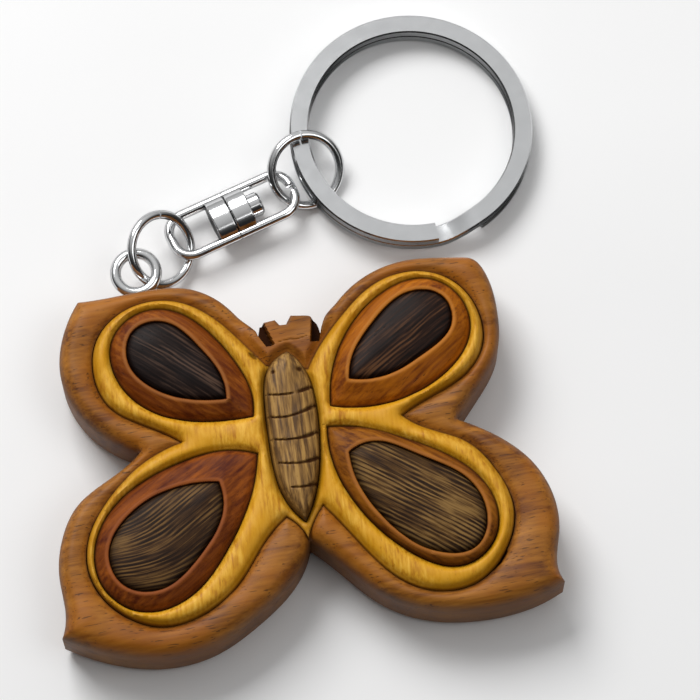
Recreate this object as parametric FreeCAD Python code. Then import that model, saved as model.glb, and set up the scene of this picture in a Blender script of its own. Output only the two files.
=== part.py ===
import FreeCAD, Part
import math
import os

# A butterfly keychain lying on its back, in millimetres. The origin is the middle of the flat back.
# +X runs along the wing span, +Y towards the head and +Z out of the decorated face.

# Wooden butterfly
BASE_TOP = 9.3            # rim of the base board
POCKET_FLOOR = 6.3        # depth reached by every let-in piece
GLUE_FILM = 0.05          # glue under and round every let-in piece
PANEL_TOP = 9.6
FRAME_TOP = 10.4
INLAY_TOP = 11.0
BODY_TOP = 10.6
FIT_SCALE = 0.994         # a let-in piece against its opening
SLOT_FLOOR = 7.3          # bottom of the two burnt slots beside the antennae
CUT_PAST = 1.0            # how far a cutter reaches past the face it opens

# Screw eye in the edge of the upper left wing
EYE_CENTRE = (-17.0, 23.3, 4.9)
EYE_RING_RADIUS = 2.5
EYE_WIRE_RADIUS = 0.65
THREAD_RADIUS = 0.9
THREAD_ROOT = 0.65
THREAD_PITCH = 0.8
THREAD_TURNS = 9
THREAD_START = 19.6       # where the thread begins, along Y
THREAD_TIP_TURNS = 2      # the last turns, which are smaller
THREAD_TIP_SCALE = 0.85
SCREW_HOLE_RADIUS = 0.95
SCREW_HOLE_START = 21.1   # outside the wing's edge, along Y
SCREW_HOLE_END = 11.4

# Jump rings
JUMP_WIRE_RADIUS = 0.55
JUMP_GAP_ANGLE = 3.0      # the slit where the wire's ends meet
LOWER_RING_RADIUS = 4.3
LOWER_RING_CENTRE = (-13.63, 26.19, 4.03)
LOWER_RING_NORMAL = (0.707, -0.424, 1.0)
LOWER_RING_SLIT = (-14.6, 30.6)
UPPER_RING_RADIUS = 4.4
UPPER_RING_CENTRE = (5.13, 34.70, 2.82)
UPPER_RING_NORMAL = (0.288, -0.527, 1.0)
UPPER_RING_SLIT = (4.5, 38.6)

# Swivel, two stirrups back to back along one axis
SWIVEL_START = (-12.70, 27.30, 2.45)
SWIVEL_YAW = 18.6
SWIVEL_PITCH = 0.33
SWIVEL_ROLL = -6.9
SWIVEL_LENGTH = 17.3
LINK_WIRE_RADIUS = 0.6
LINK_HALF_WIDTH = 2.85    # axis to the middle of an arm
LINK_CORNER_RADIUS = 2.25
HUB_START = 6.0
LOWER_HUB_END = 8.40
UPPER_HUB_START = 8.50
UPPER_HUB_END = 10.90
LOWER_HUB_HALF_HEIGHT = 2.0
UPPER_HUB_HALF_HEIGHT = 2.2
HUB_EDGE_RADIUS = 0.18
PIN_RADIUS = 0.70
PIN_BORE_RADIUS = 0.76    # runs freely on the pin
PIN_START = 6.8
PIN_HEAD_START = 11.0
PIN_HEAD_END = 12.5
PIN_HEAD_RADIUS = 1.5
PIN_HEAD_BEVEL = 0.3

# Split key ring, a flat band wound twice
KEY_RING_CENTRE = (18.64, 38.38, 2.09)
KEY_RING_NORMAL = (0.035, 0.024, 1.0)
KEY_RING_RADIUS = 13.85   # middle of the band
KEY_BAND_WIDTH = 2.3
KEY_COIL_THICKNESS = 1.38
KEY_COIL_SPACING = 1.42
KEY_BAND_BEVEL = 0.16
KEY_COIL_SWEEP = 337.0    # the flat part of each coil
KEY_COIL_START = -61.0
KEY_RAMP_STEPS = 6
KEY_RING_AIM = (100.0, 38.38)   # a far point along +X, where the coil angles start

# Outlines are hand-placed points. Each stretch is one smooth curve, and stretches meet at corners.
BASE_OUTLINE = [
    # two antenna stubs with a square notch between them
    [(4.3, 12.1), (4.15, 13.2)],
    [(4.15, 13.2), (3.8, 13.9), (2.9, 14.25), (0.95, 14.45)],
    [(0.95, 14.45), (0.3, 13.4)],
    [(0.3, 13.4), (-0.5, 13.4)],
    [(-0.5, 13.4), (-1.0, 14.1)],
    [(-1.0, 14.1), (-2.9, 13.85)],
    [(-2.9, 13.85), (-3.2, 12.7)],
    # upper left wing
    [(-3.2, 12.7), (-4.6, 14.5), (-7.0, 17.5), (-11.0, 19.85), (-15.0, 20.25), (-21.0, 19.8),
     (-24.4, 19.7)],
    [(-24.4, 19.7), (-26.7, 15.4), (-27.4, 11.0), (-26.2, 6.5), (-23.2, 2.6), (-19.0, 0.0)],
    # lower left wing
    [(-19.0, 0.0), (-23.0, -2.8), (-27.0, -5.5), (-29.2, -9.3), (-30.0, -14.5), (-29.7, -17.6),
     (-30.4, -21.4)],
    [(-30.4, -21.4), (-25.0, -24.0), (-19.0, -25.25), (-13.0, -24.5), (-7.0, -21.3),
     (-2.0, -17.0), (0.1, -13.1)],
    # lower right wing
    [(0.1, -13.1), (3.0, -15.9), (7.5, -20.4), (13.5, -23.3), (19.5, -23.95), (25.5, -23.2),
     (29.5, -21.6)],
    [(29.5, -21.6), (28.9, -19.8), (29.7, -15.4), (29.6, -11.0), (28.0, -7.1), (25.0, -3.8),
     (19.5, -0.4)],
    # upper right wing
    [(19.5, -0.4), (23.0, 4.0), (25.2, 7.5), (25.9, 12.5), (25.0, 17.8), (23.8, 19.5),
     (22.0, 19.9), (15.5, 20.25), (10.0, 18.6), (6.5, 15.8), (4.9, 13.7)],
    [(4.9, 13.7), (4.3, 12.1)],
]

# Each slot runs out through the head's edge.
ANTENNA_SLOTS = [
    [(-3.5, 13.7), (-3.25, 12.5), (-2.3, 10.9), (-1.4, 11.0), (-2.6, 14.3)],
    [(3.5, 14.4), (3.0, 10.9), (4.0, 11.0), (4.3, 12.1), (4.5, 13.5), (4.2, 14.4)],
]

PANEL_OUTLINE = [
    # upper left lobe
    [(-2.7, 8.7), (-4.5, 11.0), (-7.0, 14.1), (-10.0, 16.8), (-13.0, 18.2), (-17.0, 18.3),
     (-20.5, 16.8), (-22.8, 14.1), (-23.5, 11.0), (-22.0, 5.85), (-17.0, 2.5), (-13.8, 0.4)],
    # lower left lobe
    [(-13.8, 0.4), (-18.7, -1.6), (-23.5, -5.8), (-26.1, -10.0), (-26.6, -13.7), (-24.8, -18.0),
     (-22.0, -20.5), (-18.1, -21.8), (-13.9, -21.0), (-8.9, -17.6), (-5.2, -12.8), (-2.4, -10.2)],
    # tail
    [(-2.4, -10.2), (-1.2, -11.2), (-0.1, -13.0)],
    [(-0.1, -13.0), (0.9, -10.9), (2.1, -9.3)],
    # lower right lobe
    [(2.1, -9.3), (4.4, -12.3), (7.9, -17.1), (10.9, -19.9), (14.9, -21.4), (19.7, -20.6),
     (22.9, -17.6), (24.7, -12.8), (23.4, -7.8), (19.9, -3.4), (15.7, -1.4), (12.8, 0.6)],
    # upper right lobe
    [(12.8, 0.6), (17.6, 3.0), (21.2, 5.0), (23.4, 7.8), (23.6, 12.5), (20.8, 16.9),
     (16.1, 18.5), (11.4, 17.4), (7.2, 14.0), (4.3, 10.8), (2.3, 7.7)],
    [(2.3, 7.7), (-2.7, 8.7)],
]

FRAME_OUTLINES = {
    "upper_left": [(-4.9, 2.5), (-4.7, 5.0), (-6.6, 10.1), (-9.5, 14.1), (-13.8, 17.0),
                   (-18.0, 16.6), (-20.9, 13.5), (-20.3, 8.2), (-16.7, 4.4), (-11.0, 2.6)],
    "upper_right": [(4.4, 2.7), (4.8, 5.8), (7.5, 11.75), (12.2, 16.0), (17.5, 17.2),
                    (21.5, 14.4), (22.2, 9.9), (19.3, 5.7), (13.9, 2.8), (8.3, 2.1)],
    "lower_left": [(-4.9, -2.1), (-8.9, -1.2), (-15.2, -2.35), (-21.3, -5.4), (-25.0, -10.2),
                   (-25.2, -15.6), (-21.1, -19.6), (-15.0, -18.7), (-10.0, -13.7), (-5.9, -6.3)],
    "lower_right": [(3.7, 0.2), (6.4, 0.0), (12.3, -2.2), (18.4, -5.6), (22.2, -10.4),
                    (22.0, -15.6), (17.7, -18.65), (12.0, -16.5), (7.3, -11.7), (3.8, -3.9)],
}

INLAY_OUTLINES = {
    "upper_left": [(-7.9, 4.7), (-8.0, 7.0), (-10.6, 11.75), (-14.2, 15.1), (-18.0, 14.5),
                   (-19.1, 10.7), (-16.1, 6.8), (-12.5, 5.2)],
    "upper_right": [(7.0, 5.4), (7.6, 8.0), (10.4, 11.85), (15.9, 15.45), (19.5, 14.2),
                    (20.0, 10.7), (16.7, 7.7), (11.8, 5.4)],
    "lower_left": [(-9.9, -5.4), (-9.8, -9.0), (-13.3, -14.3), (-18.1, -17.6), (-22.4, -16.6),
                   (-23.8, -12.7), (-21.1, -8.3), (-16.1, -5.7)],
    "lower_right": [(5.9, -3.6), (8.8, -2.6), (14.4, -5.1), (19.0, -8.0), (21.2, -12.4),
                    (19.6, -16.8), (14.5, -16.8), (9.5, -12.7), (6.6, -7.7)],
}

BODY_OUTLINE = [
    [(0.0, 10.0), (-2.6, 8.0), (-3.4, 4.0), (-3.4, -1.0), (-2.5, -7.6), (-0.2, -11.1)],
    [(-0.2, -11.1), (1.3, -8.0), (2.6, -1.3), (2.6, 4.4), (1.7, 8.0), (0.0, 10.0)],
]


def stretch(points):
    """One smooth edge through the points, or a straight one between two."""
    vectors = [FreeCAD.Vector(x, y, 0) for x, y in points]
    if len(vectors) == 2:
        return Part.LineSegment(*vectors).toShape()
    curve = Part.BSplineCurve()
    curve.interpolate(vectors)
    return curve.toShape()


def plate(stretches, bottom, top, scale=1.0):
    """A flat plate with the outline, shrunk about its own middle where it is let in."""
    face = Part.Face(Part.Wire([stretch(points) for points in stretches]))
    if scale != 1.0:
        shrink = FreeCAD.Matrix()
        shrink.scale(scale, scale, 1.0)
        middle = face.CenterOfMass
        face.translate(-middle)
        face = face.transformGeometry(shrink)
        face.translate(middle)
    face.translate(FreeCAD.Vector(0, 0, bottom))
    return face.extrude(FreeCAD.Vector(0, 0, top - bottom))


def teardrop(points):
    """A closed outline of one stretch, with its only corner at the first point."""
    return [points + points[:1]]


def polygon(points):
    """A closed outline of straight edges."""
    return [[points[index - 1], points[index]] for index in range(len(points))]


def screw_bore():
    start = FreeCAD.Vector(EYE_CENTRE[0], SCREW_HOLE_START, EYE_CENTRE[2])
    length = SCREW_HOLE_START - SCREW_HOLE_END
    return Part.makeCylinder(SCREW_HOLE_RADIUS, length, start, FreeCAD.Vector(0, -1, 0))


def wing_base():
    board = plate(BASE_OUTLINE, 0, BASE_TOP)
    board = board.cut(plate(PANEL_OUTLINE, POCKET_FLOOR, BASE_TOP + CUT_PAST))
    board = board.cut(plate(BODY_OUTLINE, POCKET_FLOOR, BASE_TOP + CUT_PAST))
    for slot in ANTENNA_SLOTS:
        board = board.cut(plate(polygon(slot), SLOT_FLOOR, BASE_TOP + CUT_PAST))
    return board.cut(screw_bore())


def wing_panel():
    panel = plate(PANEL_OUTLINE, POCKET_FLOOR + GLUE_FILM, PANEL_TOP, FIT_SCALE)
    panel = panel.cut(plate(BODY_OUTLINE, POCKET_FLOOR, BODY_TOP))
    for outline in FRAME_OUTLINES.values():
        panel = panel.cut(plate(teardrop(outline), POCKET_FLOOR, FRAME_TOP))
    return panel


def wing_frame(side):
    frame = plate(teardrop(FRAME_OUTLINES[side]), POCKET_FLOOR + GLUE_FILM, FRAME_TOP, FIT_SCALE)
    return frame.cut(plate(teardrop(INLAY_OUTLINES[side]), POCKET_FLOOR, INLAY_TOP))


def wing_inlay(side):
    bottom = POCKET_FLOOR + GLUE_FILM
    return plate(teardrop(INLAY_OUTLINES[side]), bottom, INLAY_TOP, FIT_SCALE)


def body_spindle():
    return plate(BODY_OUTLINE, POCKET_FLOOR + GLUE_FILM, BODY_TOP, FIT_SCALE)


def screw_eye():
    """A wire eye on a shank whose thread is a row of pointed ridges."""
    eye = Part.makeTorus(EYE_RING_RADIUS, EYE_WIRE_RADIUS, FreeCAD.Vector(*EYE_CENTRE))
    eye_foot = EYE_CENTRE[1] - EYE_RING_RADIUS
    profile = [(0, eye_foot), (THREAD_ROOT, eye_foot), (THREAD_ROOT, THREAD_START)]
    for turn in range(THREAD_TURNS):
        crest = THREAD_START - (turn + 1 / 2) * THREAD_PITCH
        taper = 1.0 if turn < THREAD_TURNS - THREAD_TIP_TURNS else THREAD_TIP_SCALE
        profile.append((THREAD_RADIUS * taper, crest))
        profile.append((THREAD_ROOT * taper, crest - THREAD_PITCH / 2))
    profile.append((0, THREAD_START - (THREAD_TURNS + 1) * THREAD_PITCH))
    corners = [FreeCAD.Vector(EYE_CENTRE[0] + r, y, EYE_CENTRE[2]) for r, y in profile]
    face = Part.Face(Part.makePolygon(corners + corners[:1]))
    shank = face.revolve(FreeCAD.Vector(*EYE_CENTRE), FreeCAD.Vector(0, 1, 0), 360)
    return eye.fuse(shank)


def tilted(shape, centre, normal, towards=(0.0, 0.0)):
    """Moves a shape made about the Z axis to its centre, tilts it and turns its X axis towards a point."""
    normal = FreeCAD.Vector(*normal).normalize()
    aim = FreeCAD.Vector(towards[0] - centre[0], towards[1] - centre[1], 0)
    aim = (aim - normal * aim.dot(normal)).normalize()
    rotation = FreeCAD.Rotation(aim, normal.cross(aim), normal, "ZXY")
    shape.Placement = FreeCAD.Placement(FreeCAD.Vector(*centre), rotation)
    return shape


def jump_ring(radius, centre, normal, slit):
    """A wire ring with a narrow slit on its side nearest the given point."""
    up = FreeCAD.Vector(0, 0, 1)
    sweep = 360 - JUMP_GAP_ANGLE
    ring = Part.makeTorus(radius, JUMP_WIRE_RADIUS, FreeCAD.Vector(), up, 0, 360, sweep)
    ring.rotate(FreeCAD.Vector(), up, JUMP_GAP_ANGLE / 2)
    ring = Part.makeCompound([ring])
    return tilted(ring, centre, normal, slit)


def on_swivel(shape):
    """Puts a shape made along the X axis in its place on the swivel's axis."""
    rotation = FreeCAD.Rotation(SWIVEL_YAW, -SWIVEL_PITCH, SWIVEL_ROLL)
    shape = Part.makeCompound([shape])
    shape.Placement = FreeCAD.Placement(FreeCAD.Vector(*SWIVEL_START), rotation)
    return shape


def stirrup(end, hub_end, inward):
    """A bow of round wire, from the hub round the link's end and back to the hub."""
    side = LINK_HALF_WIDTH
    corner = LINK_CORNER_RADIUS
    bend = corner * (1 - math.sqrt(0.5))
    point = FreeCAD.Vector
    near = end + inward * corner
    path = Part.Wire([
        Part.LineSegment(point(hub_end, -side, 0), point(near, -side, 0)).toShape(),
        Part.Arc(point(near, -side, 0), point(end + inward * bend, -side + bend, 0),
                 point(end, -side + corner, 0)).toShape(),
        Part.LineSegment(point(end, -side + corner, 0), point(end, side - corner, 0)).toShape(),
        Part.Arc(point(end, side - corner, 0), point(end + inward * bend, side - bend, 0),
                 point(near, side, 0)).toShape(),
        Part.LineSegment(point(near, side, 0), point(hub_end, side, 0)).toShape(),
    ])
    section = Part.makeCircle(LINK_WIRE_RADIUS, point(hub_end, -side, 0), point(1, 0, 0))
    return path.makePipeShell([Part.Wire([section])], True, False)


def hub(start, end, half_height):
    """The oval barrel that the pin passes through. Its sides run into the middle of each arm."""
    oval = Part.Ellipse(FreeCAD.Vector(), LINK_HALF_WIDTH, half_height).toShape()
    barrel = Part.Face(Part.Wire([oval])).extrude(FreeCAD.Vector(0, 0, end - start))
    rims = [edge for edge in barrel.Edges if len(edge.Vertexes) == 1]
    barrel = barrel.makeFillet(HUB_EDGE_RADIUS, rims)
    along_x = FreeCAD.Rotation(FreeCAD.Vector(0, 1, 0), FreeCAD.Vector(0, 0, 1), FreeCAD.Vector(1, 0, 0), "ZXY")
    barrel.Placement = FreeCAD.Placement(FreeCAD.Vector(start, 0, 0), along_x)
    return barrel


def swivel_lower_link():
    barrel = hub(HUB_START, LOWER_HUB_END, LOWER_HUB_HALF_HEIGHT)
    link = stirrup(LINK_WIRE_RADIUS, LOWER_HUB_END, 1).fuse(barrel)
    socket = Part.makeCylinder(PIN_RADIUS, LOWER_HUB_END, FreeCAD.Vector(PIN_START, 0, 0),
                               FreeCAD.Vector(1, 0, 0))
    return on_swivel(link.cut(socket))


def swivel_upper_link():
    end = SWIVEL_LENGTH - LINK_WIRE_RADIUS
    barrel = hub(UPPER_HUB_START, UPPER_HUB_END, UPPER_HUB_HALF_HEIGHT)
    link = stirrup(end, UPPER_HUB_START, -1).fuse(barrel)
    bore = Part.makeCylinder(PIN_BORE_RADIUS, UPPER_HUB_END, FreeCAD.Vector(HUB_START, 0, 0),
                             FreeCAD.Vector(1, 0, 0))
    return on_swivel(link.cut(bore))


def swivel_pin():
    """A round pin fixed in the lower hub, with a head that keeps the upper hub on."""
    axis = FreeCAD.Vector(1, 0, 0)
    shaft_length = PIN_HEAD_START - PIN_START
    shaft = Part.makeCylinder(PIN_RADIUS, shaft_length, FreeCAD.Vector(PIN_START, 0, 0), axis)
    barrel_end = PIN_HEAD_END - PIN_HEAD_BEVEL
    head = Part.makeCylinder(PIN_HEAD_RADIUS, barrel_end - PIN_HEAD_START,
                             FreeCAD.Vector(PIN_HEAD_START, 0, 0), axis)
    bevel = Part.makeCone(PIN_HEAD_RADIUS, PIN_HEAD_RADIUS - PIN_HEAD_BEVEL, PIN_HEAD_BEVEL,
                          FreeCAD.Vector(barrel_end, 0, 0), axis)
    return on_swivel(shaft.fuse([head, bevel]))


def band_section(angle, height):
    """The band's section at an angle round the key ring, with its corners bevelled."""
    turn = math.radians(angle)
    wide = KEY_BAND_WIDTH / 2
    thick = KEY_COIL_THICKNESS / 2
    wide_flat = wide - KEY_BAND_BEVEL
    thick_flat = thick - KEY_BAND_BEVEL
    quarter = [(wide, thick_flat), (wide_flat, thick)]
    outline = quarter + [(-x, z) for x, z in quarter[::-1]]
    outline += [(x, -z) for x, z in outline[::-1]]
    corners = []
    for across, up in outline:
        reach = KEY_RING_RADIUS + across
        corners.append(FreeCAD.Vector(reach * math.cos(turn), reach * math.sin(turn), height + up))
    return Part.makePolygon(corners + corners[:1])


def split_ring():
    """Two flat coils with a short ramp between them."""
    centre = FreeCAD.Vector()
    up = FreeCAD.Vector(0, 0, 1)
    low = -KEY_COIL_SPACING / 2
    high = KEY_COIL_SPACING / 2
    ramp_start = KEY_COIL_START + KEY_COIL_SWEEP
    ramp_sweep = 360 - KEY_COIL_SWEEP
    lower_coil = Part.Face(band_section(KEY_COIL_START, low)).revolve(centre, up, KEY_COIL_SWEEP)
    upper_coil = Part.Face(band_section(KEY_COIL_START, high)).revolve(centre, up, KEY_COIL_SWEEP)
    sections = []
    for step in range(KEY_RAMP_STEPS + 1):
        share = step / KEY_RAMP_STEPS
        rise = low + KEY_COIL_SPACING * (1 - math.cos(math.pi * share)) / 2
        sections.append(band_section(ramp_start + ramp_sweep * share, rise))
    ramp = Part.makeLoft(sections, True, False)
    ring = Part.makeCompound([lower_coil.fuse([ramp, upper_coil])])
    return tilted(ring, KEY_RING_CENTRE, KEY_RING_NORMAL, KEY_RING_AIM)


def all_nodes():
    nodes = {"wing_base": wing_base(), "wing_panel": wing_panel(), "body_spindle": body_spindle()}
    for side in FRAME_OUTLINES:
        nodes[side + "_wing_frame"] = wing_frame(side)
        nodes[side + "_wing_inlay"] = wing_inlay(side)
    nodes["screw_eye"] = screw_eye()
    nodes["lower_jump_ring"] = jump_ring(
        LOWER_RING_RADIUS, LOWER_RING_CENTRE, LOWER_RING_NORMAL, LOWER_RING_SLIT)
    nodes["swivel_lower_link"] = swivel_lower_link()
    nodes["swivel_pin"] = swivel_pin()
    nodes["swivel_upper_link"] = swivel_upper_link()
    nodes["upper_jump_ring"] = jump_ring(
        UPPER_RING_RADIUS, UPPER_RING_CENTRE, UPPER_RING_NORMAL, UPPER_RING_SLIT)
    nodes["split_ring"] = split_ring()
    return nodes


os.makedirs("parts", exist_ok=True)
for name, shape in all_nodes().items():
    solid = shape.Solids[0]
    print(name, len(shape.Solids), solid.isValid(), round(solid.Volume, 2))
    solid.exportStep("parts/" + name + ".step")
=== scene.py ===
import math

import bmesh
import bpy
import numpy as np
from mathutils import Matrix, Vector, geometry, noise


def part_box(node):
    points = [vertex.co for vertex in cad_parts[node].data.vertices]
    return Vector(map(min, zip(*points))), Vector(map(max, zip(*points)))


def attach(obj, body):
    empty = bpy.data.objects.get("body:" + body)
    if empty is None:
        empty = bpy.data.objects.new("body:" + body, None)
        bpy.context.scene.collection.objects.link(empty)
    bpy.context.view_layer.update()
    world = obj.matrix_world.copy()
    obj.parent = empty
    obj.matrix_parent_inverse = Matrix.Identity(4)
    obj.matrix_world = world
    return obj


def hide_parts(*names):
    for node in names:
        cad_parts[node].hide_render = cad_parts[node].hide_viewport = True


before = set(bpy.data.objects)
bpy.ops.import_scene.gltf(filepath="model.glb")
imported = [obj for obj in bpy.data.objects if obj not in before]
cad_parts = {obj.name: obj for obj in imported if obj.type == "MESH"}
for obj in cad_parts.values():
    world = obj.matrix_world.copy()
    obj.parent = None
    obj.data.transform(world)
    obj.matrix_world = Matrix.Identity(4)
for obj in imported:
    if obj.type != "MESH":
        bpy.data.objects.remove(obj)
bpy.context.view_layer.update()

# The carved wood is modelled in millimetres from the outlines of the CAD plates, then scaled to metres.
MM = 0.001
SIDES = ("upper_left", "upper_right", "lower_left", "lower_right")

# Carving
SLICE_HEIGHT = 6.8          # a level that cuts every wooden piece
LOOP_STEP = 0.28            # spacing of the points along an outline
FIELD_STEP = 0.42           # spacing of the points inside it
RING_DEPTHS = (0.05, 0.12, 0.22, 0.36, 0.54, 0.78, 1.08, 1.45, 1.9, 2.4)
CORNER_TURN = math.radians(26)
EDGE_ROUND = 1.7            # the base board's front edge
BACK_ROUND = 1.4            # its back edge
BACK_DEPTHS = (0.06, 0.16, 0.32, 0.55, 0.85, 1.15, 1.4)
BACK_STEP = 1.6
POCKET_FLOOR = 6.3
SHARP_ANGLE = math.radians(42)
CHUNK = 3000                # points handled at a time, to save memory
HEAD_CENTRE = (0.7, 12.6)
HEAD_RADIUS = 4.0           # the head and antennae keep crisp edges this far out
HEAD_FADE = 3.0
HEAD_EDGE = 0.35
SLOT_FLOOR = 7.35           # the burnt slots beside the antennae
SLOT_WALL = 0.12
ANTENNA_SLOTS = (
    ((-3.5, 13.7), (-3.25, 12.5), (-2.3, 10.9), (-1.4, 11.0), (-2.6, 14.3)),
    ((3.5, 14.4), (3.0, 10.9), (4.0, 11.0), (4.3, 12.1), (4.5, 13.5), (4.2, 14.4)),
)
CRACK_LINE = ((-0.9, 11.25), (0.6, 11.45), (1.4, 11.35), (2.6, 11.6))
CRACK_DEPTH = 0.08
NICK_LINE = ((20.9, -19.6), (22.1, -18.6), (22.95, -17.5))
NICK_DEPTH = 0.5
GOUGE_LINE = ((-4.4, 10.25), (-4.1, 9.95), (-3.85, 9.6))
GOUGE_DEPTH = 0.35
EDGE_DISH = 0.75            # how far the board and the panel dip at their seams
MID_SWELL = 0.7             # and how far they rise again between them
CREST_WIDTH = 0.38          # the sanded crest of a wing frame
FRAME_FALL = 1.35           # how far the frame falls from it to the yellow panel

# Where each inlay's grain starts and ends, and how much it curves at the far end
INLAY_FLOW = {
    "upper_left": ((-7.9, 4.7), (-18.6, 13.2), 0.0),
    "upper_right": ((7.0, 5.4), (19.3, 13.6), 0.0),
    "lower_left": ((-9.9, -5.4), (-23.2, -14.6), 0.05),
    "lower_right": ((5.9, -3.6), (20.6, -13.6), 0.0),
}
UPPER_INLAY_TONES = {
    "upper_left": ((10, 3, 3), (30, 18, 14), (78, 58, 46)),
    "upper_right": ((12, 4, 2), (40, 22, 14), (92, 60, 36)),
}
LOWER_INLAY_TONES = {
    "lower_left": ((30, 16, 7), (62, 40, 20), (112, 82, 44)),
    "lower_right": ((36, 19, 6), (82, 56, 26), (132, 100, 54)),
}

# The body's burnt marks: three points of each stripe, its half widths from end to end, and the dots
STRIPES = (
    ((-3.1, 4.7), (-0.2, 4.3), (2.4, 5.1)),
    ((-3.2, 1.9), (-0.3, 1.6), (2.6, 2.8)),
    ((-3.2, -0.9), (-0.2, -1.3), (2.4, -0.6)),
    ((-2.6, -3.9), (0.0, -4.3), (2.2, -3.7)),
    ((-1.4, -7.1), (0.2, -7.2), (1.6, -6.8)),
)
STRIPE_WIDTHS = (0.09, 0.11, 0.11, 0.13, 0.24, 0.2)
STRIPE_GAP = (0.4, 4.35)
EYE_DOTS = ((-2.0, 7.3, 0.2), (1.2, 7.35, 0.34))

# Studio, in metres: each light's place, size and power
CAMERA_DISTANCE = 0.5
CAMERA_AZIMUTH = math.radians(-6.9)
CAMERA_ELEVATION = math.radians(73.5)
CAMERA_TARGET = (0.00769, 0.01044, 0.005)
CAMERA_LENS = 212.4
KEY_LIGHT = ((-0.16, 0.36, 0.42), (0.3, 0.3), 2.6)
FILL_LIGHT = ((0.3, -0.12, 0.5), (0.3, 0.3), 0.5)
FLOOR_REACH = 1.5
SKY_LEAN = (0.0, 0.5, 0.62)     # the direction in which the studio grows brighter
SKY = ((0.0, 0.02), (0.22, 0.05), (0.55, 0.45), (0.75, 0.65))


# ---------------------------------------------------------------- outlines

def node_arrays(node):
    """The CAD node's corners in millimetres and its triangles."""
    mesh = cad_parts[node].data
    mesh.calc_loop_triangles()
    corners = np.array([v.co[:] for v in mesh.vertices]) / MM
    triangles = np.array([t.vertices[:] for t in mesh.loop_triangles])
    return corners, triangles


def slice_loops(node, height):
    """The closed outlines where a level plane cuts a node, the longest first."""
    corners, triangles = node_arrays(node)
    links = {}
    for tri in corners[triangles]:
        ends = []
        for a, b in ((0, 1), (1, 2), (2, 0)):
            low, high = tri[a], tri[b]
            if (low[2] < height) != (high[2] < height):
                share = (height - low[2]) / (high[2] - low[2])
                ends.append(low + (high - low) * share)
        if len(ends) == 2:
            keys = [tuple(np.round(e[:2], 3)) for e in ends]
            if keys[0] != keys[1]:
                links.setdefault(keys[0], []).append(keys[1])
                links.setdefault(keys[1], []).append(keys[0])
    loops = []
    while links:
        start = next(iter(links))
        loop = [start]
        here = start
        while True:
            following = [k for k in links.get(here, []) if len(loop) < 2 or k != loop[-2]]
            step = following[0] if following else None
            if step is None or step == start or len(loop) > 20000:
                break
            loop.append(step)
            here = step
        for key in loop:
            links.pop(key, None)
        if len(loop) > 8:
            loops.append(np.array(loop))
    return sorted(loops, key=lambda l: -np.ptp(l, axis=0).sum())


def even_loop(loop, step=LOOP_STEP):
    """The same closed outline with even spacing, smoothed between its corners."""
    ahead = np.roll(loop, -1, 0) - loop
    behind = loop - np.roll(loop, 1, 0)
    turn = np.arctan2(behind[:, 0] * ahead[:, 1] - behind[:, 1] * ahead[:, 0],
                      (behind * ahead).sum(1))
    corners = list(np.flatnonzero(np.abs(turn) > CORNER_TURN))
    starts = corners or [0]
    out = []
    for index, first in enumerate(starts):
        last = starts[(index + 1) % len(starts)]
        count = (last - first) % len(loop) or len(loop)
        run = loop[(first + np.arange(count + 1)) % len(loop)]
        reach = np.concatenate([[0], np.cumsum(np.linalg.norm(np.diff(run, axis=0), axis=1))])
        pieces = max(2, round(reach[-1] / step))
        at = np.linspace(0, reach[-1], pieces + 1)
        even = np.stack([np.interp(at, reach, run[:, k]) for k in (0, 1)], 1)
        for _ in range(6):
            even[1:-1] = even[1:-1] / 2 + (even[:-2] + even[2:]) / 4
        out.append(even[:-1])
    return np.concatenate(out)


def distance(points, loop):
    """Each point's distance to a closed outline."""
    start = loop
    along = np.roll(loop, -1, 0) - loop
    square = (along ** 2).sum(1)
    out = np.empty(len(points))
    for low in range(0, len(points), CHUNK):
        off = points[low:low + CHUNK, None] - start[None]
        share = np.clip((off * along).sum(2) / square, 0, 1)
        gap = off - share[..., None] * along
        out[low:low + CHUNK] = np.sqrt((gap ** 2).sum(2).min(1))
    return out


def inside(points, loops):
    """Whether each point is inside the region that the outlines bound."""
    crossings = np.zeros(len(points), int)
    for loop in loops:
        a, b = loop, np.roll(loop, -1, 0)
        for low in range(0, len(points), CHUNK):
            x = points[low:low + CHUNK, 0, None]
            y = points[low:low + CHUNK, 1, None]
            spans = (a[:, 1] > y) != (b[:, 1] > y)
            rise = np.where(b[:, 1] == a[:, 1], 1e-12, b[:, 1] - a[:, 1])
            meets = a[:, 0] + (y - a[:, 1]) * (b[:, 0] - a[:, 0]) / rise
            crossings[low:low + CHUNK] += (spans & (x < meets)).sum(1)
    return crossings % 2 == 1


# ---------------------------------------------------------------- carved solids

def hex_grid(low, high, step):
    rows = []
    for number, y in enumerate(np.arange(low[1], high[1], step * 0.866)):
        xs = np.arange(low[0] + (number % 2) * step / 2, high[0], step)
        rows.append(np.column_stack([xs, np.full(len(xs), y)]))
    return np.concatenate(rows)


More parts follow.
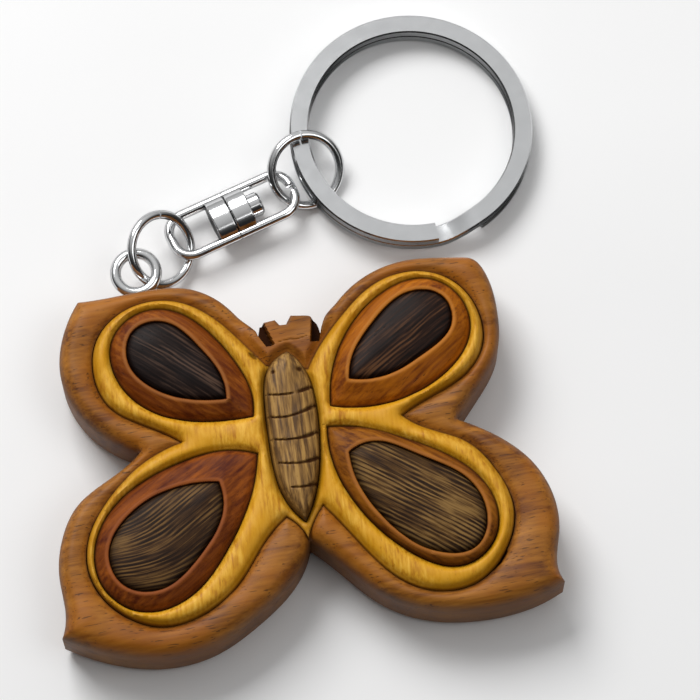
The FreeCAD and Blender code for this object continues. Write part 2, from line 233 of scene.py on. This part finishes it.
def patch(loops, depths=(), field=None, details=()):
    """A triangulated region: its points, its triangles and each outline's point numbers.

    Rings of points follow the outlines, an even field fills the middle, and every detail
    (centre, radius, spacing) adds a finer field round one spot.
    """
    edges, numbers, count = [], [], 0
    for loop in loops:
        own = np.arange(count, count + len(loop))
        edges += list(zip(own.tolist(), np.roll(own, -1).tolist()))
        numbers.append(own)
        count += len(loop)
    extra = []
    for loop in loops:
        tangent = np.roll(loop, -1, 0) - np.roll(loop, 1, 0)
        normal = np.stack([-tangent[:, 1], tangent[:, 0]], 1)
        normal /= np.linalg.norm(normal, axis=1)[:, None]
        for index, depth in enumerate(depths):
            for side in (1, -1):
                ring = loop + normal * depth * side
                if index % 2:
                    ring = (ring + np.roll(ring, -1, 0)) / 2
                if depth > 0.9:
                    ring = ring[::2]
                near = np.min([distance(ring, other) for other in loops], axis=0)
                extra.append(ring[inside(ring, loops) & (near > depth * 0.9)])
    if field:
        grid = hex_grid(loops[0].min(0), loops[0].max(0), field)
        near = np.min([distance(grid, other) for other in loops], axis=0)
        reach = (depths[-1] if depths else 0) + field * 0.6
        extra.append(grid[inside(grid, loops) & (near > reach)])
    for centre, radius, step in details:
        spot = hex_grid(np.array(centre) - radius, np.array(centre) + radius, step)
        spot = spot[np.linalg.norm(spot - centre, axis=1) < radius]
        near = np.min([distance(spot, other) for other in loops], axis=0)
        extra.append(spot[inside(spot, loops) & (near > step * 0.6)])
    points = np.concatenate(loops + extra)
    result = geometry.delaunay_2d_cdt([Vector(p) for p in points], edges, [], 0, 1e-5)
    out = np.array([v[:] for v in result[0]])
    triangles = np.array([f[:] for f in result[2]])
    triangles = triangles[inside(out[triangles].mean(1), loops)]
    place = np.full(len(points), -1)
    for new, old in enumerate(result[3]):
        place[list(old)] = new
    return out, triangles, [place[own] for own in numbers]


def relaxed(region, height, passes=3):
    """The heights over a region, with their creases smoothed away from the outlines."""
    points, triangles, rims = region
    heights = height(points)
    free = np.ones(len(points), bool)
    free[np.concatenate(rims)] = False
    sides = ((0, 1), (1, 2), (2, 0), (1, 0), (2, 1), (0, 2))
    pairs = np.concatenate([triangles[:, side] for side in sides])
    count = np.maximum(np.bincount(pairs[:, 0], minlength=len(points)), 1)
    for _ in range(passes):
        mean = np.bincount(pairs[:, 0], heights[pairs[:, 1]], len(points)) / count
        heights[free] = (heights[free] + mean[free]) / 2
    return lambda _: heights


def carved(name, node, top, bottom, walls, fields, pocket=None):
    """A closed solid from a carved top, a bottom and the walls that join their outlines.

    top, bottom and pocket are (patch, height function) pairs.
    """
    layers = [layer for layer in (top, bottom, pocket) if layer]
    corners, faces, starts, count = [], [], [], 0
    for (points, triangles, _), height in layers:
        starts.append(count)
        count += len(points)
        corners.append(np.column_stack([points, height(points)]))
        faces += (triangles + starts[-1]).tolist()
    for (layer_a, rim_a), (layer_b, rim_b) in walls:
        a = layers[layer_a][0][2][rim_a] + starts[layer_a]
        b = layers[layer_b][0][2][rim_b] + starts[layer_b]
        faces += np.column_stack([a, np.roll(a, -1), np.roll(b, -1), b]).tolist()
    corners = np.concatenate(corners)
    mesh = bpy.data.meshes.new(name)
    mesh.from_pydata(corners * MM, [], faces)
    mesh.validate()
    turn_faces_out(mesh)
    for key, values in fields.items():
        attribute = mesh.attributes.new(key, "FLOAT", "POINT")
        attribute.data.foreach_set("value", values(corners).astype(np.float32))
    mesh.shade_smooth()
    mesh.set_sharp_from_angle(angle=SHARP_ANGLE)
    piece = bpy.data.objects.new(name, mesh)
    bpy.context.collection.objects.link(piece)
    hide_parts(node)
    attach(piece, "butterfly")
    return piece


def turn_faces_out(mesh):
    shape = bmesh.new()
    shape.from_mesh(mesh)
    bmesh.ops.recalc_face_normals(shape, faces=shape.faces)
    shape.to_mesh(mesh)
    shape.free()


def hand_wobble(points, size, amount, seed):
    """The slight unevenness of a surface cut and sanded by hand."""
    return amount * np.array([noise.noise(Vector((x / size, y / size, seed))) for x, y in points])


def eased(x):
    x = np.clip(x, 0, 1)
    return x * x * (3 - 2 * x)


def dip(depth, width):
    """A groove's profile: 1 in its middle, fading to 0."""
    return np.exp(-(depth / width) ** 2)


def round_over(depth, radius):
    """How far a rounded edge lies below the flat, at a distance in from the rim."""
    left = np.clip(radius - depth, 0, radius)
    return radius - np.sqrt(np.maximum(radius ** 2 - left ** 2, 0))


def dome(depth, reach):
    """A rounded rise from 0 at the rim to 1 at a distance in from it."""
    return np.sqrt(np.clip(1 - (1 - np.clip(depth / reach, 0, 1)) ** 2, 0, 1))


def level(height):
    return lambda points: np.full(len(points), height)


def top_of(node):
    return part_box(node)[1][2] / MM


def bottom_of(node):
    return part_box(node)[0][2] / MM


def within(points, outline, edge):
    """1 inside an outline and 0 outside it, changing over a narrow edge."""
    outline = np.array(outline)
    near = distance(points, outline)
    return eased(0.5 + np.where(inside(points, [outline]), near, -near) / edge)


def curve_mask(points, line, half_width):
    """How strongly a line is drawn at each point: its ends taper and its edges are soft."""
    line = np.array(line)
    best = np.full(len(points), 9.0)
    share_at = np.zeros(len(points))
    reach = np.concatenate([[0], np.cumsum(np.linalg.norm(np.diff(line, axis=0), axis=1))])
    for index in range(len(line) - 1):
        a, along = line[index], line[index + 1] - line[index]
        share = np.clip(((points - a) @ along) / (along @ along), 0, 1)
        gap = np.linalg.norm(points - a - share[:, None] * along, axis=1)
        nearer = gap < best
        best[nearer] = gap[nearer]
        share_at[nearer] = ((reach[index] + share * np.linalg.norm(along)) / reach[-1])[nearer]
    width = np.interp(share_at, np.linspace(0, 1, len(half_width)), half_width)
    return 1 - eased((best / width - 0.55) / 0.9)


def smooth_line(points, count=16):
    """A smooth curve through three points."""
    a, b, c = np.array(points)
    t = np.linspace(0, 1, count)[:, None]
    control = 2 * b - (a + c) / 2
    return a * (1 - t) ** 2 + 2 * control * t * (1 - t) + c * t ** 2


board_rim, pocket_rim = [even_loop(l) for l in slice_loops("wing_base", SLICE_HEIGHT)[:2]]
panel_loops = [even_loop(l) for l in slice_loops("wing_panel", SLICE_HEIGHT)]
body_rim = even_loop(slice_loops("body_spindle", SLICE_HEIGHT)[0])
frame_loops = {s: [even_loop(l) for l in slice_loops(s + "_wing_frame", SLICE_HEIGHT)[:2]] for s in SIDES}
inlay_rims = {s: even_loop(slice_loops(s + "_wing_inlay", SLICE_HEIGHT)[0]) for s in SIDES}


def make_base():
    """The orange board: rounded edges, a soft swelling and a groove along the yellow panel."""
    crest = top_of("wing_base")

    def head(points):
        """1 on the head and its antennae, which stay crisp, and 0 on the wings."""
        return 1 - eased((np.linalg.norm(points - HEAD_CENTRE, axis=1) - HEAD_RADIUS) / HEAD_FADE)

    def top(points):
        rim = distance(points, board_rim)
        seam = distance(points, pocket_rim)
        on_head = head(points)
        share = seam / (seam + rim + 1e-6)
        swell = np.sin(np.pi * share) * np.clip((seam + rim) / 6, 0, 1)
        swell = np.maximum(swell, on_head * eased(seam / 1.2))
        height = crest - EDGE_DISH + MID_SWELL * swell
        height -= 0.28 * dip(seam, 0.4) * (1 - 0.6 * on_head)
        height -= round_over(rim, EDGE_ROUND + (HEAD_EDGE - EDGE_ROUND) * on_head)
        height += hand_wobble(points, 3.5, 0.12, 1.0) * eased(rim / 1.5)
        height -= CRACK_DEPTH * curve_mask(points, CRACK_LINE, (0.04, 0.07, 0.04))
        height -= NICK_DEPTH * curve_mask(points, NICK_LINE, (0.1, 0.2, 0.12))
        for slot in ANTENNA_SLOTS:
            height += (SLOT_FLOOR - height) * within(points, slot, SLOT_WALL)
        return np.minimum(height, crest)

    def bottom(points):
        return round_over(distance(points, board_rim), BACK_ROUND)

    fields = {
        "seam": lambda c: np.where(c[:, 2] > POCKET_FLOOR + 0.1, distance(c[:, :2], pocket_rim), 9.0),
        "rim": lambda c: distance(c[:, :2], board_rim),
        "burn": lambda c: np.max([
            0.55 * curve_mask(c[:, :2], CRACK_LINE, (0.04, 0.08, 0.04)),
            curve_mask(c[:, :2], NICK_LINE, (0.12, 0.22, 0.14)),
        ] + [within(c[:, :2], slot, 2 * SLOT_WALL) for slot in ANTENNA_SLOTS], axis=0),
    }
    return carved("base_board", "wing_base",
                  (patch([board_rim, pocket_rim], RING_DEPTHS, FIELD_STEP,
                         [(HEAD_CENTRE, 4.6, 0.13), (NICK_LINE[1], 1.4, 0.15)]), top),
                  (patch([board_rim], BACK_DEPTHS, BACK_STEP), bottom),
                  [((0, 0), (1, 0)), ((0, 1), (2, 0))],
                  fields, (patch([pocket_rim]), level(POCKET_FLOOR)))


def make_panel():
    """The yellow panel: a rounded ridge round every wing eye and a flatter middle."""
    outer, eyes = panel_loops[0], panel_loops[1:5]
    crest = top_of("wing_panel")

    def top(points):
        rim = distance(points, outer)
        eye = np.min([distance(points, e) for e in eyes], axis=0)
        share = eye / (eye + rim + 1e-6)
        ridge = np.sin(np.pi * share ** 0.8) ** 0.9
        flat = eased((np.minimum(rim, eye) - 0.9) / 1.2)
        height = crest - EDGE_DISH + MID_SWELL * np.maximum(ridge, flat * 0.8)
        height -= 0.3 * dip(eye, 0.35) + 0.35 * dip(rim, 0.35)
        height -= 0.25 * dip(distance(points, body_rim), 0.5)
        height += hand_wobble(points, 2.6, 0.12, 5.0) + hand_wobble(points, 0.9, 0.035, 6.0)
        height -= GOUGE_DEPTH * curve_mask(points, GOUGE_LINE, (0.15, 0.3, 0.15))
        return np.minimum(height, crest)

    fields = {
        "seam": lambda c: np.min([distance(c[:, :2], e) for e in eyes + [body_rim]], axis=0),
        "rim": lambda c: distance(c[:, :2], outer),
        "burn": lambda c: 0.7 * curve_mask(c[:, :2], GOUGE_LINE, (0.2, 0.4, 0.2)),
    }
    loops = [outer] + eyes
    region = patch(loops, RING_DEPTHS[:7], FIELD_STEP, [(GOUGE_LINE[1], 1.0, 0.14)])
    return carved("yellow_panel", "wing_panel",
                  (region, relaxed(region, top)),
                  (patch(loops), level(bottom_of("wing_panel"))),
                  [((0, k), (1, k)) for k in range(len(loops))], fields)


def make_frame(side):
    """A red-brown wing frame: a narrow crest beside the inlay, falling away outwards."""
    outer, inner = frame_loops[side]
    crest = top_of(side + "_wing_frame")

    def top(points):
        rim = distance(points, outer)
        lip = distance(points, inner)
        width = lip + rim
        fall = np.clip((lip - CREST_WIDTH) / np.maximum(width - CREST_WIDTH, 0.3), 0, 1)
        height = crest - 0.04 - FRAME_FALL * (fall ** 0.85) * np.clip(width / 2.6, 0.5, 1)
        height -= 0.25 * dip(lip, 0.14) + 0.4 * dip(rim, 0.32)
        height += hand_wobble(points, 2.4, 0.10, 9.0) + hand_wobble(points, 0.8, 0.03, 10.0)
        return np.minimum(height, crest)

    fields = {
        "seam": lambda c: distance(c[:, :2], outer),
        "rim": lambda c: distance(c[:, :2], inner),
    }
    region = patch([outer, inner], RING_DEPTHS[:6], 0.34)
    return carved(side + "_frame", side + "_wing_frame",
                  (region, relaxed(region, top)),
                  (patch([outer, inner]), level(bottom_of(side + "_wing_frame"))),
                  [((0, 0), (1, 0)), ((0, 1), (1, 1))], fields)


def make_inlay(side):
    """A dark domed teardrop."""
    rim_loop = inlay_rims[side]
    crest = top_of(side + "_wing_inlay")
    tip, end, bend = INLAY_FLOW[side]
    along = (np.array(end) - tip) / np.linalg.norm(np.array(end) - tip)
    across = np.array([-along[1], along[0]])

    def top(points):
        rim = distance(points, rim_loop)
        height = crest - 1.0 + dome(rim, 4.4)
        height -= 0.25 * dip(rim, 0.18)
        height += hand_wobble(points, 3.0, 0.07, 13.0) * eased(rim)
        return np.minimum(height, crest)

    def flow(c):
        far = (c[:, :2] - tip) @ along
        return (c[:, :2] - tip) @ across + bend * np.clip(far - 8, 0, None) ** 2

    fields = {
        "rim": lambda c: distance(c[:, :2], rim_loop),
        "along": lambda c: (c[:, :2] - tip) @ along,
        "across": flow,
    }
    return carved(side + "_inlay", side + "_wing_inlay",
                  (patch([rim_loop], RING_DEPTHS[:6], 0.36), top),
                  (patch([rim_loop]), level(bottom_of(side + "_wing_inlay"))),
                  [((0, 0), (1, 0))], fields)


def make_body():
    """The striped body: a long dome with five burnt stripes and two eye dots cut into it."""
    crest = top_of("body_spindle")

    def burn(points):
        marks = [curve_mask(points, [(x, y), (x + 0.05, y)], (size, size)) for x, y, size in EYE_DOTS]
        marks += [curve_mask(points, smooth_line(line), STRIPE_WIDTHS) for line in STRIPES]
        gap = 1 - dip(np.linalg.norm(points - STRIPE_GAP, axis=1), 0.3)
        return np.max(marks, axis=0) * gap

    def top(points):
        rim = distance(points, body_rim)
        height = crest - 1.25 + 1.2 * dome(rim, 3.0)
        height -= 0.25 * dip(rim, 0.2)
        height += hand_wobble(points, 2.0, 0.08, 17.0)
        height -= 0.16 * burn(points)
        return np.minimum(height, crest)

    fields = {
        "rim": lambda c: distance(c[:, :2], body_rim),
        "burn": lambda c: burn(c[:, :2]) * (c[:, 2] > SLICE_HEIGHT),
    }
    return carved("body", "body_spindle",
                  (patch([body_rim], RING_DEPTHS[:5], 0.13), top),
                  (patch([body_rim]), level(bottom_of("body_spindle"))),
                  [((0, 0), (1, 0))], fields)


# ---------------------------------------------------------------- materials

TONE_PLACES = (0.3, 0.5, 0.7)   # where a wood's dark, middle and light tones sit on its ramp
PORE_EDGE = 0.05                # softness of a pore's outline
PORE_SHADE = 0.22               # the dark tone's share inside a pore
VARNISH_ROUGHNESS = 0.35


class Nodes:
    """A short way to write a material's node tree."""

    def __init__(self, name):
        self.material = bpy.data.materials.new(name)
        self.material.use_nodes = True
        self.tree = self.material.node_tree
        self.shader = self.tree.nodes["Principled BSDF"]

    def feed(self, node, key, value):
        """Links or sets an input, named by its label or by i and its number."""
        numbered = key[0] == "i" and key[1:].isdigit()
        socket = node.inputs[int(key[1:])] if numbered else node.inputs[key.replace("_", " ")]
        if isinstance(value, bpy.types.NodeSocket):
            self.tree.links.new(value, socket)
        else:
            opaque = socket.type == "RGBA" and isinstance(value, tuple)
            socket.default_value = (*value, 1) if opaque else value

    def add(self, kind, settings=None, **inputs):
        node = self.tree.nodes.new(kind)
        for key, value in (settings or {}).items():
            setattr(node, key, value)
        for key, value in inputs.items():
            self.feed(node, key, value)
        return node

    def maths(self, operation, a, b):
        return self.add("ShaderNodeMath", {"operation": operation}, i0=a, i1=b).outputs[0]

    def total(self, parts):
        """0.5 plus every part's swing round 0.5, each with its own weight."""
        value = None
        for part, weight in parts:
            swing = self.maths("MULTIPLY", self.maths("SUBTRACT", part, 0.5), weight)
            value = self.maths("ADD", swing, 0.5) if value is None else self.maths("ADD", value, swing)
        return value

    def ramp(self, value, stops):
        node = self.add("ShaderNodeValToRGB", Fac=value)
        while len(node.color_ramp.elements) < len(stops):
            node.color_ramp.elements.new(0.5)
        for element, (place, colour) in zip(node.color_ramp.elements, stops):
            element.position = place
            element.color = (*colour, 1)
        return node.outputs["Color"]

    def mix(self, share, a, b):
        return self.add("ShaderNodeMix", {"data_type": "RGBA"}, i0=share, i6=a, i7=b).outputs[2]

    def spread(self, value, low, high, start=0.0, end=1.0):
        return self.add("ShaderNodeMapRange", {"interpolation_type": "SMOOTHSTEP"}, i0=value, i1=low,
                        i2=high, i3=start, i4=end).outputs[0]

    def attribute(self, name):
        return self.add("ShaderNodeAttribute", {"attribute_name": name}).outputs["Fac"]

    def grain(self, angle):
        """Object coordinates in millimetres with X along the grain."""
        where = self.add("ShaderNodeTexCoord").outputs["Object"]
        scaled = self.add("ShaderNodeMapping", Vector=where, Scale=(1 / MM,) * 3).outputs[0]
        return self.add("ShaderNodeMapping", {"vector_type": "TEXTURE"}, Vector=scaled,
                        Rotation=(0, 0, math.radians(angle))).outputs[0]

    def stretched(self, vector, stretch):
        return self.add("ShaderNodeMapping", Vector=vector, Scale=(1 / stretch, 1, 1)).outputs[0]

    def noise(self, vector, size, detail=2.0, rough=0.5, distort=0.0):
        """Noise with features of about the given size in millimetres."""
        return self.add("ShaderNodeTexNoise", Vector=vector, Scale=1 / size, Detail=detail,
                        Roughness=rough, Distortion=distort).outputs["Fac"]

    def bands(self, vector, period, distort, wander):
        """Growth lines across the grain, with a period in millimetres."""
        return self.add("ShaderNodeTexWave", {"bands_direction": "Y"}, Vector=vector,
                        Scale=0.314 / period, Distortion=distort, Detail=2.0, Detail_Scale=wander,
                        Detail_Roughness=0.6).outputs["Fac"]

    def band_mask(self, attribute, start, full, end, gone):
        value = self.attribute(attribute)
        rise = self.spread(value, start, full)
        return self.maths("MULTIPLY", rise, self.spread(value, end, gone, 1.0, 0.0))


def srgb(r, g, b):
    """A colour from its everyday 0 to 255 values."""
    return tuple(c / 255 / 12.92 if c <= 10 else ((c / 255 + 0.055) / 1.055) ** 2.4 for c in (r, g, b))


def wood(name, angle, tones, pores, figure=(2.6, 7, 0.8), fibres=(0.3, 26, 0.5), lines=(1.6, 3.0, 0.3),
         drift=None, marks=(), crest=None, gloss=0.55, gleam=0.25, coat=0.04, flow=False):
    """Varnished wood.

    tones are the dark, middle and light colours. figure and fibres are (size, stretch, weight), lines
    is (period, distortion, weight), pores is (size, stretch, threshold, strength), drift is a colour
    that large patches lean towards, with its strength, and marks are (attribute, width, strength,
    colour) darkenings that fade away from an outline: painted shade along seams, grooves and rounded
    edges, and burn or gouge marks. crest is the colour and strength of the crest band, which is
    sanded wear together with a painted highlight.
    gloss is the roughness, gleam the reflection's strength and coat the varnish. With flow the grain
    follows the piece's own along and across values.
    """
    n = Nodes(name)
    where = n.grain(angle)
    if flow:
        where = n.add("ShaderNodeCombineXYZ", X=n.attribute("along"), Y=n.attribute("across")).outputs[0]
    broad = n.noise(n.stretched(where, figure[1]), figure[0], 3.0, 0.55, 0.5)
    fine = n.noise(n.stretched(where, fibres[1]), fibres[0], 3.0, 0.6)
    growth = n.bands(n.stretched(where, 5), lines[0], lines[1], 1.2)
    fading = n.spread(n.noise(n.stretched(where, 3), 2.2, 2.0), 0.35, 0.65)
    growth = n.maths("ADD", n.maths("MULTIPLY", n.maths("SUBTRACT", growth, 0.5), fading), 0.5)
    tone = n.total([(broad, figure[2]), (fine, fibres[2]), (growth, lines[2])])
    colour = n.ramp(tone, list(zip(TONE_PLACES, tones)))
    if drift:
        patches = n.spread(n.noise(where, 7.0, 2.0), 0.42, 0.62)
        colour = n.mix(n.maths("MULTIPLY", patches, drift[1]), colour, drift[0])
    specks = n.noise(n.stretched(where, pores[1]), pores[0], 1.0, 0.5)
    crowd = n.maths("MULTIPLY", n.noise(n.stretched(where, 2), 3.0, 1.0), 0.25)
    open_pores = n.spread(n.maths("ADD", specks, crowd), pores[2], pores[2] + PORE_EDGE)
    in_pore = tuple(c * PORE_SHADE for c in tones[0])
    colour = n.mix(n.maths("MULTIPLY", open_pores, pores[3]), colour, in_pore)
    dents = n.maths("SUBTRACT", fine, open_pores)
    rough = n.maths("ADD", n.maths("MULTIPLY", fine, 0.25), gloss - 0.12)
    if crest:
        # the crest band: sanded wear together with a painted highlight along the frame's crest
        wear_and_highlight = n.maths("MULTIPLY", n.band_mask("rim", 0.05, 0.16, 0.3, 0.65), crest[1])
        colour = n.mix(wear_and_highlight, colour, crest[0])
        rough = n.maths("ADD", rough, n.maths("MULTIPLY", wear_and_highlight, 0.18))
    for attribute, width, strength, shade_and_mark_colour in marks:
        if width is None:
            mask = n.maths("MULTIPLY", n.attribute(attribute), strength)
        else:
            mask = n.spread(n.attribute(attribute), 0.0, width, strength, 0.0)
        # each mark is painted shade along a seam or rounded edge, or a burn or gouge mark
        colour = n.mix(mask, colour, shade_and_mark_colour)
    n.feed(n.shader, "Base Color", colour)
    n.feed(n.shader, "Roughness", rough)
    if any(mark[0] == "burn" for mark in marks):
        shine = n.maths("MULTIPLY", n.maths("SUBTRACT", 1.0, n.attribute("burn")), gleam)
        n.feed(n.shader, "Specular IOR Level", shine)
    else:
        n.shader.inputs["Specular IOR Level"].default_value = gleam
    n.shader.inputs["Coat Weight"].default_value = coat
    n.shader.inputs["Coat Roughness"].default_value = VARNISH_ROUGHNESS
    bump = n.add("ShaderNodeBump", Height=dents, Strength=0.4, Distance=0.00005)
    n.feed(n.shader, "Normal", bump.outputs[0])
    return n.material


def metal(name, colour, rough):
    """Bright plating with faint wear and fine scratches."""
    n = Nodes(name)
    where = n.grain(0)
    cloud = n.noise(where, 1.6, 4.0, 0.6)
    lines = n.noise(n.stretched(n.grain(35), 30), 0.15, 2.0, 0.5)
    n.feed(n.shader, "Base Color", n.ramp(cloud, [(0.3, tuple(c * 0.97 for c in colour)), (0.7, colour)]))
    n.shader.inputs["Metallic"].default_value = 1.0
    n.shader.inputs["Specular Tint"].default_value = (0.08, 0.08, 0.08, 1)
    wear = n.total([(cloud, 1.0), (lines, 0.5)])
    n.feed(n.shader, "Roughness", n.spread(wear, 0.2, 0.8, rough * 0.9, rough * 1.15))
    bump = n.add("ShaderNodeBump", Height=lines, Strength=0.06, Distance=0.00001)
    n.feed(n.shader, "Normal", bump.outputs[0])
    return n.material


def paint(piece, material):
    piece.data.materials.clear()
    piece.data.materials.append(material)


# ---------------------------------------------------------------- assembly

# Painted shade: this brown darkens the grooves at the seams between the pieces; it also colours the gouge
# mark in the yellow panel
SHADE_AND_GOUGE_BROWN = srgb(52, 24, 6)
BURNT = srgb(48, 24, 10)

paint(make_base(), wood(
    "base_wood", 4, (srgb(98, 52, 12), srgb(143, 88, 24), srgb(170, 110, 37)),
    pores=(0.22, 9, 0.79, 0.65), drift=(srgb(156, 88, 4), 0.5), lines=(1.5, 7.0, 0.14),
    # marks: painted shade in the groove along the yellow panel, painted shade on the rounded outer edge and
    # side wall, and the burn marks of the crack, nick and antenna slots
    marks=[("seam", 0.3, 0.5, SHADE_AND_GOUGE_BROWN), ("rim", 0.6, 0.5, srgb(70, 45, 22)), ("burn", None, 1.0, BURNT)]))
paint(make_panel(), wood(
    "yellow_wood", 89, (srgb(176, 113, 16), srgb(213, 155, 36), srgb(232, 179, 66)),
    figure=(0.9, 2.5, 0.7), fibres=(0.3, 10, 0.6), lines=(0.6, 5.0, 0.1), pores=(0.2, 6, 0.86, 0.3),
    drift=(srgb(208, 146, 4), 0.7),
    # marks: painted shade in two bands on the rounded outer edge, painted shade in the grooves round the
    # wing eyes and the body, and the gouge mark
    marks=[("rim", 1.3, 0.45, srgb(150, 96, 0)), ("rim", 0.25, 0.55, srgb(88, 48, 4)),
           ("seam", 0.22, 0.6, SHADE_AND_GOUGE_BROWN), ("burn", None, 1.0, SHADE_AND_GOUGE_BROWN)]))

# each frame: grain angle, dark, middle and light tones, and the crest band's colour (sanded wear with a
# painted highlight)
FRAME_TONES = {
    "upper_left": (140, (86, 32, 2), (116, 56, 6), (146, 80, 18), (156, 96, 44)),
    "upper_right": (38, (104, 46, 0), (146, 78, 2), (172, 98, 8), (184, 116, 44)),
    "lower_left": (36, (76, 24, 2), (114, 54, 8), (142, 73, 14), (150, 82, 38)),
    "lower_right": (-36, (86, 40, 4), (132, 76, 12), (154, 94, 20), (166, 102, 42)),
}
for side, (angle, dark, middle, light, wear_and_highlight) in FRAME_TONES.items():
    paint(make_frame(side), wood(
        side + "_red_wood", angle, (srgb(*dark), srgb(*middle), srgb(*light)), figure=(1.6, 8, 0.9),
        # crest: sanded wear with a painted highlight; marks: painted shade where the frame falls to the
        # yellow panel and in the groove beside the inlay
        lines=(0.9, 6.0, 0.15), pores=(0.2, 8, 0.84, 0.5), crest=(srgb(*wear_and_highlight), 0.7),
        marks=[("seam", 0.35, 0.75, SHADE_AND_GOUGE_BROWN), ("rim", 0.08, 0.6, SHADE_AND_GOUGE_BROWN)], gloss=0.62, gleam=0.15))

for side, (dark, middle, light) in UPPER_INLAY_TONES.items():
    paint(make_inlay(side), wood(
        side + "_dark_wood", 0, (srgb(*dark), srgb(*middle), srgb(*light)), figure=(1.5, 9, 0.9),
        fibres=(0.28, 22, 0.8), lines=(0.5, 5.0, 0.25), pores=(0.16, 7, 0.82, 0.5), flow=True,
        # marks: painted shade darkening the dome towards its edge
        marks=[("rim", 0.9, 0.6, srgb(12, 6, 5))], gloss=0.5, gleam=0.12, coat=0.0))
for side, (dark, middle, light) in LOWER_INLAY_TONES.items():
    paint(make_inlay(side), wood(
        side + "_dark_wood", 0, (srgb(*dark), srgb(*middle), srgb(*light)), figure=(2.4, 4, 0.9),
        fibres=(0.16, 24, 0.9), lines=(0.5, 4.0, 0.45), pores=(0.16, 7, 0.84, 0.4), flow=True,
        # marks: painted shade darkening the dome towards its edge
        marks=[("rim", 1.4, 0.55, srgb(16, 8, 5))], gloss=0.55, gleam=0.12, coat=0.0))

paint(make_body(), wood(
    "striped_wood", 91, (srgb(86, 58, 24), srgb(130, 94, 44), srgb(168, 128, 66)),
    figure=(0.8, 5, 1.0), fibres=(0.2, 18, 0.8), lines=(0.9, 5.0, 0.35), pores=(0.16, 7, 0.84, 0.4),
    # marks: painted shade at the body's edge where it dips into the groove, and the burnt stripes and eye
    # dots
    marks=[("rim", 0.3, 0.8, srgb(70, 46, 14)), ("burn", None, 0.95, BURNT)]))

plated = metal("plated_steel", (0.74, 0.745, 0.75), 0.12)
ring_steel = metal("polished_ring", (0.70, 0.71, 0.72), 0.16)
for node in ("screw_eye", "lower_jump_ring", "swivel_lower_link", "swivel_pin", "swivel_upper_link",
             "upper_jump_ring"):
    paint(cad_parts[node], plated)
paint(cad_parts["split_ring"], ring_steel)


# ---------------------------------------------------------------- stage, light and camera

def make_floor():
    mesh = bpy.data.meshes.new("floor")
    corners = [(x * FLOOR_REACH, y * FLOOR_REACH, 0) for x, y in ((-1, -1), (1, -1), (1, 1), (-1, 1))]
    mesh.from_pydata(corners, [], [(0, 1, 2, 3)])
    floor = bpy.data.objects.new("floor", mesh)
    bpy.context.collection.objects.link(floor)
    n = Nodes("pale_floor")
    tint = n.noise(n.grain(0), 50.0)
    n.feed(n.shader, "Base Color", n.ramp(tint, [(0.3, (0.88, 0.88, 0.88)), (0.7, (0.91, 0.91, 0.91))]))
    n.shader.inputs["Roughness"].default_value = 0.9
    paint(floor, n.material)


def area_light(name, place, size, power, aim=(0, 0.01, 0)):
    data = bpy.data.lights.new(name, "AREA")
    data.shape = "RECTANGLE"
    data.size, data.size_y = size
    data.energy = power
    light = bpy.data.objects.new(name, data)
    bpy.context.collection.objects.link(light)
    light.location = place
    light.rotation_euler = (Vector(aim) - Vector(place)).to_track_quat("-Z", "Y").to_euler()


def make_camera():
    """Looks down from the tail side, a little off the vertical."""
    level_reach = math.cos(CAMERA_ELEVATION)
    back = Vector((math.sin(CAMERA_AZIMUTH) * level_reach, -math.cos(CAMERA_AZIMUTH) * level_reach,
                   math.sin(CAMERA_ELEVATION)))
    data = bpy.data.cameras.new("camera")
    data.sensor_width = 36
    data.lens = CAMERA_LENS
    camera = bpy.data.objects.new("camera", data)
    bpy.context.collection.objects.link(camera)
    camera.location = Vector(CAMERA_TARGET) + back * CAMERA_DISTANCE
    camera.rotation_euler = (-back).to_track_quat("-Z", "Y").to_euler()
    bpy.context.scene.camera = camera


def make_studio():
    """A grey ceiling, bright behind the object and dark in front, so that metal has contrast."""
    world = bpy.data.worlds.new("studio")
    world.use_nodes = True
    tree = world.node_tree
    where = tree.nodes.new("ShaderNodeTexCoord")
    lean = tree.nodes.new("ShaderNodeVectorMath")
    lean.operation = "DOT_PRODUCT"
    lean.inputs[1].default_value = SKY_LEAN
    ramp = tree.nodes.new("ShaderNodeValToRGB")
    tree.links.new(where.outputs["Generated"], lean.inputs[0])
    tree.links.new(lean.outputs["Value"], ramp.inputs["Fac"])
    while len(ramp.color_ramp.elements) < len(SKY):
        ramp.color_ramp.elements.new(0.5)
    for element, (place, grey) in zip(ramp.color_ramp.elements, SKY):
        element.position = place
        element.color = (grey, grey, grey, 1)
    tree.links.new(ramp.outputs["Color"], tree.nodes["Background"].inputs["Color"])
    bpy.context.scene.world = world


make_floor()
make_camera()
make_studio()
area_light("key", *KEY_LIGHT)
area_light("fill", *FILL_LIGHT)
bpy.context.scene.view_settings.view_transform = "Standard"

bpy.context.view_layer.update()
